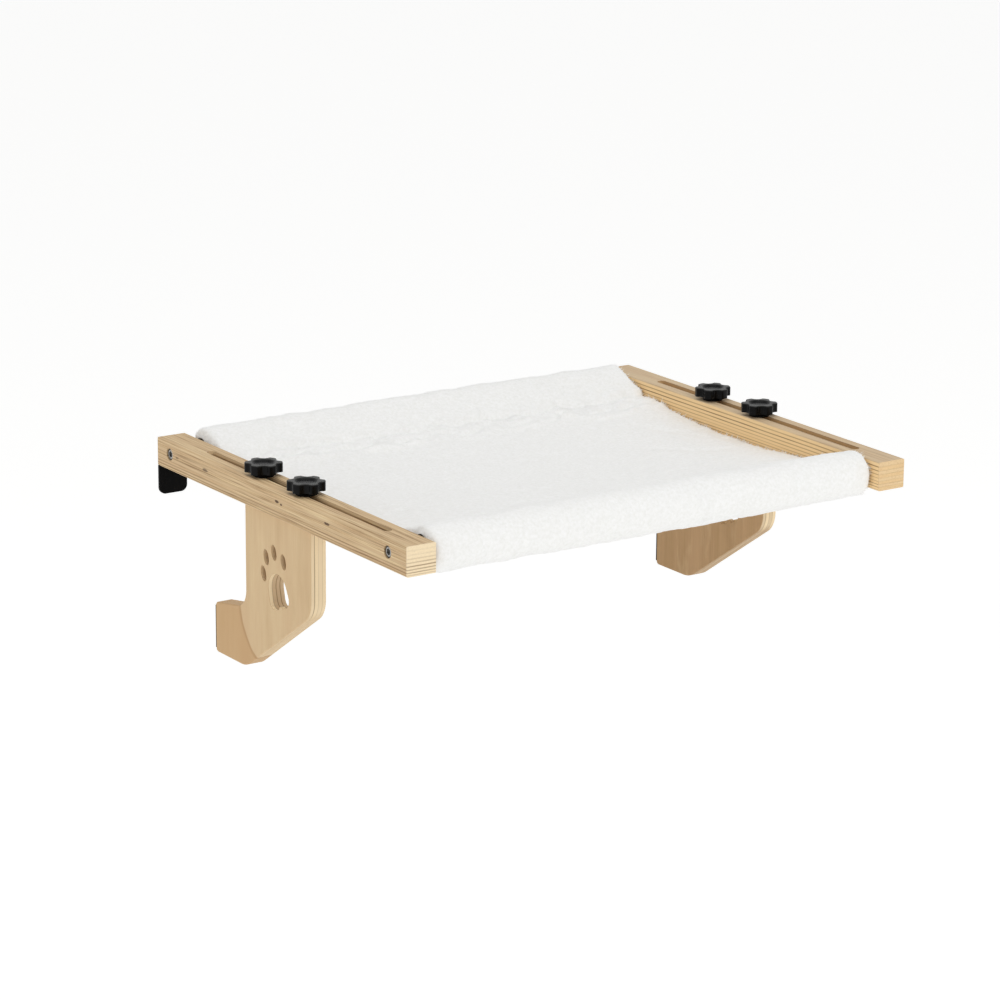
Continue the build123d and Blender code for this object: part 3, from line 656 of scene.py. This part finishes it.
def weldEnds(piece):
    # The upper and lower cloth meet at the hems
    mesh = bmesh.new()
    mesh.from_mesh(piece.data)
    (left, right), near = sling["ends"], 0.01
    ends = [v for v in mesh.verts if v.co.x < (left + near) * mm or v.co.x > (right - near) * mm]
    bmesh.ops.remove_doubles(mesh, verts=ends, dist=2 * near * mm)
    mesh.to_mesh(piece.data)
    mesh.free()


def closeBores(piece):
    # The cloth inside each sleeve, against the rod
    mesh = bmesh.new()
    mesh.from_mesh(piece.data)
    for row in ("frontRod", "rearRod"):
        ring = [e for e in mesh.edges if e.is_boundary
                and abs(e.verts[0].co.y - sling[row][0] * mm) < 1.5 * sling["sleeveRadius"] * mm]
        bmesh.ops.bridge_loops(mesh, edges=ring)
    bmesh.ops.recalc_face_normals(mesh, faces=mesh.faces)
    mesh.to_mesh(piece.data)
    mesh.free()


cloth = {
    "frames": 20, "quality": 6, "mass": 0.3, "stretch": 15.0, "shear": 5.0, "bending": 2.0,
    "pressure": 4.0, "slack": 0.03, "panelHold": 0.35, "seamHold": 4.0,
    "sleeveCap": 0.5, "panelCap": 2.5, "smoothRows": 8,
}


def relaxCloth(piece, rowCount):
    # The sleeves fill out and the slack cloth puckers between the seams. The section
    # stays as drawn, so what the cloth does the same all across the bed is taken off.
    mesh = piece.data
    start = np.array([v.co for v in mesh.vertices]) / mm
    x, y = start[:, 0], start[:, 1]
    front, rear = sling["frontSeam"][0], sling["rearSeam"][0]
    panel = (y > front) & (y < rear)
    fromSeam = np.minimum(np.abs(y - front), np.abs(y - rear))
    hold = np.where(panel, cloth["panelHold"], 0.0)
    hold = np.maximum(hold, np.clip(1 - fromSeam / cloth["seamHold"], 0, 1))
    (leftEnd, rightEnd), (leftRound, rightRound) = sling["ends"], sling["endRounds"]
    past = np.maximum((leftEnd - x) / leftRound, (x - rightEnd) / rightRound) + 1
    hold = np.maximum(hold, np.clip(past, 0, 1) ** 2)
    for groupName, weights in (("held", hold), ("filled", np.where(panel, 0.0, 1.0))):
        group = piece.vertex_groups.new(name=groupName)
        for k, weight in enumerate(weights):
            group.add([k], float(weight), "REPLACE")
    selectOnly(piece)
    bpy.ops.object.modifier_add(type="CLOTH")
    modifier = piece.modifiers["Cloth"]
    settings = modifier.settings
    settings.quality = cloth["quality"]
    settings.mass = cloth["mass"]
    settings.tension_stiffness = settings.compression_stiffness = cloth["stretch"]
    settings.shear_stiffness = cloth["shear"]
    settings.bending_stiffness = cloth["bending"]
    settings.vertex_group_mass = "held"
    settings.use_pressure = True
    settings.uniform_pressure_force = cloth["pressure"]
    settings.vertex_group_pressure = "filled"
    settings.shrink_min = -cloth["slack"]
    settings.effector_weights.gravity = 0.0
    for frameNumber in range(1, cloth["frames"] + 1):
        bpy.context.scene.frame_set(frameNumber)
    bpy.ops.object.modifier_apply(modifier="Cloth")
    bpy.context.scene.frame_set(1)
    end = np.array([v.co for v in piece.data.vertices]) / mm
    move = (end - start).reshape(rowCount, -1, 3)
    reach = cloth["smoothRows"]
    padded = np.concatenate([move[:1]] * reach + [move] + [move[-1:]] * reach)
    common = np.mean([padded[k:k + rowCount] for k in range(2 * reach + 1)], axis=0)
    move = (move - common).reshape(-1, 3) * (1 - hold)[:, None]
    length = np.linalg.norm(move, axis=1)
    cap = np.where(panel, cloth["panelCap"], cloth["sleeveCap"])
    print("cloth puckers, mm: mean %.2f, most %.2f" % (length.mean(), length.max()))
    move *= np.minimum(1, cap / np.maximum(length, 1e-6))[:, None]
    piece.data.vertices.foreach_set("co", ((start + move) * mm).ravel())
    piece.vertex_groups.clear()
    piece.data.update()


def wave(scale, seed, *coordinates):
    # Smooth noise from about -1 to 1, with features of the given size in millimetres
    rows = np.column_stack([np.asarray(c, dtype=float) / scale for c in coordinates] +
                           [np.full(len(coordinates[0]), seed)] * (3 - len(coordinates)))
    return np.array([noise.noise(Vector(row) + Vector((seed, 0, 0))) for row in rows])


def noiseField(place, size, seed):
    offset = Vector((seed, -seed, 2 * seed))
    return np.array([noise.noise(Vector(p) / size + offset) for p in place])


relief = {
    "tuft": 0.6, "tuftSize": 7.0, "fine": 0.25, "fineSize": 3.4, "swell": 0.25, "swellSize": 34.0,
    # How far the folds lie from their seam, and how much of the cloth round the rods stays plain
    "foldPlace": 14.0, "boreClear": 1.5,
    "front": {"seed": 5.3, "wobble": 3.0, "wobbleLength": 34.0, "groove": 2.4, "grooveWidth": 4.0,
              "pucker": 0.9, "puckerLength": 15.0, "puckerReach": 10.0, "under": 0.7,
              "fold": 0.6, "foldLength": 40.0, "foldWidth": 12.0, "foldReach": 20.0,
              "hem": 0.4, "hemReach": 28.0, "hemWidth": 5.0, "ridgeLength": 30.0},
    "rear": {"seed": 21.7, "wobble": 11.0, "wobbleLength": 30.0, "groove": 4.0, "grooveWidth": 3.2,
             "pucker": 3.2, "puckerLength": 16.0, "puckerReach": 9.0, "under": 0.7,
             "fold": 2.8, "foldLength": 24.0, "foldWidth": 7.0, "foldReach": 20.0,
             "hem": 4.3, "hemReach": 26.0, "hemWidth": 4.0, "ridgeLength": 20.0},
    # Centre, direction, half length, width and depth of each soft crease
    "creases": (((48.0, -388.0), (0.12, -1.0), 20.0, 4.2, 3.0),
                ((165.0, -205.0), (0.8, -0.6), 38.0, 7.0, 1.2),
                ((185.0, -150.0), (0.6, -0.8), 30.0, 6.0, 1.0),
                ((-150.0, -120.0), (0.9, -0.4), 40.0, 8.0, 0.8)),
}


def shapePlush(piece):
    # Sewn seams with their puckers, the ridge of the hem under the rear seam, and tufts
    mesh = piece.data
    place = np.array([v.co for v in mesh.vertices]) / mm
    normal = np.array([v.normal for v in mesh.vertices])
    x, y = place[:, 0], place[:, 1]
    rise = relief["tuft"] * noiseField(place, relief["tuftSize"], 3.0)
    rise += relief["fine"] * noiseField(place, relief["fineSize"], 8.0)
    rise += relief["swell"] * noiseField(place, relief["swellSize"], 14.0)
    along = np.arange(-225.0, 226.0, 1.0)
    for row, side in (("front", 1.0), ("rear", -1.0)):
        seam = relief[row]
        wobble = np.interp(x, along, seam["wobble"] * wave(seam["wobbleLength"], seam["seed"], along))
        # Ridged noise gives sharp puckers at the seam, and longer folds beside it
        pucker = 0.5 - 1.6 * np.abs(wave(seam["puckerLength"], seam["seed"] + 4, along))
        pucker = np.interp(x, along, pucker + 0.5 * wave(4 * seam["puckerLength"], seam["seed"] + 6, along))
        ridge = np.interp(x, along, wave(seam["ridgeLength"], seam["seed"] + 9, along))
        into = (y - sling[row + "Seam"][0] - wobble) * side
        under = np.where(normal[:, 2] > 0, 1.0, seam["under"])
        rise -= under * seam["groove"] * np.exp(-(into / seam["grooveWidth"]) ** 2)
        rise += under * seam["pucker"] * pucker * np.exp(-(into / seam["puckerReach"]) ** 2)
        folds = 0.6 - 2.2 * np.abs(wave(1.0, seam["seed"] + 12, x / seam["foldLength"], y / seam["foldWidth"]))
        rise += under * seam["fold"] * folds * np.exp(-((into - relief["foldPlace"]) / seam["foldReach"]) ** 2)
        hem = (into - seam["hemReach"] + 0.4 * wobble) / seam["hemWidth"]
        rise += under * seam["hem"] * (0.45 + 0.9 * ridge) * np.exp(-hem ** 2)
        rise -= under * seam["hem"] * 0.6 * (0.6 + 0.6 * ridge) * np.exp(-(hem + 1.6) ** 2)
    for (cx, cy), (dx, dy), halfLength, width, depth in relief["creases"]:
        alongCrease = (x - cx) * dx + (y - cy) * dy
        off = (x - cx) * dy - (y - cy) * dx
        fadeOut = np.exp(-(alongCrease / halfLength) ** 4)
        rise -= np.where(normal[:, 2] > -0.7, depth, 0.0) * fadeOut * np.exp(-(off / width) ** 2)
    inBore = np.zeros(len(place), dtype=bool)
    for row in ("front", "rear"):
        rodY, rodZ = sling[row + "Rod"]
        inBore |= np.hypot(y - rodY, place[:, 2] - rodZ) < sling["bore"] + relief["boreClear"]
    rise[inBore] = 0.0
    moved = place + normal * rise[:, None]
    moved[:, 0] = np.clip(moved[:, 0], -sling["railFaces"], sling["railFaces"])
    mesh.vertices.foreach_set("co", (moved * mm).ravel())
    mesh.update()


slingPiece, slingRows = buildSling()
relaxCloth(slingPiece, slingRows)
weldEnds(slingPiece)
selectOnly(slingPiece)
bpy.ops.object.modifier_add(type="SUBSURF")
finer = slingPiece.modifiers["Subdivision"]
finer.levels = finer.render_levels = 1
bpy.ops.object.modifier_apply(modifier="Subdivision")
shapePlush(slingPiece)
closeBores(slingPiece)
selectOnly(slingPiece)
bpy.ops.object.shade_smooth()
print("sling:", len(slingPiece.data.polygons), "faces")

# White plush, knitted with a short dense pile: soft tufts a few millimetres across, painted
# shade in grey between them, and brighter where it is seen on edge
plush, plushShader, place = startMaterial("whitePlush", Specular_IOR_Level=0.12, Sheen_Weight=0.3,
                                          Sheen_Roughness=0.6, Roughness=0.95)
tufts = addNode(plush, "TexNoise", {"Vector": place, "Scale": 1 / 2.6, "Detail": 2.0, "Roughness": 0.55})
pile = addNode(plush, "TexNoise", {"Vector": place, "Scale": 1 / 0.8, "Detail": 2.0})
height = addNode(plush, "Math", (pile, 0.35, tufts), operation="MULTIPLY_ADD")
# Painted shade: greyer where the pile lies low between the tufts
tone = addNode(plush, "Mix", {0: addNode(plush, "MapRange", (height, 0.45, 0.9, 0.0, 1.0)),
                              6: linear("EFEFEC"), 7: linear("F9F9F8")}, 2, data_type="RGBA")
wire(plush, plushShader, Base_Color=tone,
     Normal=addNode(plush, "Bump", {"Height": height, "Strength": 0.22, "Distance": 0.8 * mm}))
slingPiece.data.materials.append(plush)
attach(slingPiece, "frame")
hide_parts("sling")

fringe = {
    "perSquareMm": 0.3, "highAbove": 25.5, "seed": 41,
    # How far the fibres lean outward and to all sides, how deep and wide their tufts
    # are, how far they droop, and the share of length and width at root and middle
    "outward": 0.5, "lean": 0.5, "tuftDepth": 0.7, "tuftSize": 5.0, "droop": -0.1, "droopSpread": 0.25,
    "rings": ((-0.15, 1.0), (0.5, 0.8)), "boreClear": 2.0,
    # Where the fibres start, how far out they reach below and above the rail's top,
    # all from the bed's middle, their least and greatest length, and their width
    "left": {"from": 214.5, "most": 221.2, "mostHigh": 219.8, "length": (0.8, 1.8), "width": 0.3},
    "right": {"from": 218.5, "most": 222.7, "mostHigh": 223.4, "length": (1.2, 3.6), "width": 0.45},
}


def buildFringe(source):
    # Loose fibres where the cloth ends beside the rails
    dice = random.Random(fringe["seed"])
    mesh = bmesh.new()
    for face in source.data.polygons:
        centre = face.center / mm
        side = 1.0 if centre.x > 0 else -1.0
        end = fringe["right" if centre.x > 0 else "left"]
        inBore = any(math.hypot(centre.y - sling[row][0], centre.z - sling[row][1])
                     < sling["bore"] + fringe["boreClear"]
                     for row in ("frontRod", "rearRod"))
        if side * centre.x < end["from"] or inBore:
            continue
        count = face.area / mm ** 2 * fringe["perSquareMm"]
        for _ in range(int(count) + (dice.random() < count % 1)):
            corners = [source.data.vertices[k].co / mm for k in face.vertices]
            s, t = dice.random(), dice.random()
            root = corners[0].lerp(corners[1], s).lerp(corners[-1].lerp(corners[2], s), t)
            aim = Vector(face.normal) + Vector((side * fringe["outward"], dice.gauss(0, fringe["lean"]),
                                                dice.gauss(0, fringe["lean"])))
            aim.normalize()
            # The pile stands up in tufts
            spot = Vector((side, root.y / fringe["tuftSize"], root.z / fringe["tuftSize"]))
            tuft = 1 + fringe["tuftDepth"] * noise.noise(spot)
            long = dice.uniform(*end["length"]) * tuft
            droop = Vector((0, dice.gauss(0, fringe["droopSpread"]),
                            dice.gauss(fringe["droop"], fringe["droopSpread"]))) * long
            across = aim.orthogonal().normalized() * end["width"] / 2
            turned = aim.cross(across)
            rings = []
            for share, thick in fringe["rings"]:
                middle = root + aim * long * share + droop * max(share, 0) ** 2
                rings.append([middle + (across * math.cos(a) + turned * math.sin(a)) * thick
                              for a in (0, math.tau / 3, 2 * math.tau / 3)])
            tip = root + aim * long + droop
            limit = end["mostHigh"] if min(tip.z, root.z) > fringe["highAbove"] else end["most"]
            points = [Vector((side * min(abs(p.x), limit), p.y, p.z)) * mm for ring in rings for p in ring]
            points.append(Vector((side * min(abs(tip.x), limit), tip.y, tip.z)) * mm)
            v = [mesh.verts.new(p) for p in points]
            for k in range(3):
                n = (k + 1) % 3
                mesh.faces.new((v[k], v[n], v[3 + n], v[3 + k]))
                mesh.faces.new((v[3 + k], v[3 + n], v[6]))
            mesh.faces.new((v[2], v[1], v[0]))
    bmesh.ops.recalc_face_normals(mesh, faces=mesh.faces)
    data = bpy.data.meshes.new("slingFringe")
    mesh.to_mesh(data)
    mesh.free()
    piece = bpy.data.objects.new("slingFringe", data)
    bpy.context.scene.collection.objects.link(piece)
    return piece


fringePiece = buildFringe(slingPiece)
fringePiece.data.materials.append(plush)
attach(fringePiece, "frame")
print("fringe:", len(fringePiece.data.polygons), "faces")
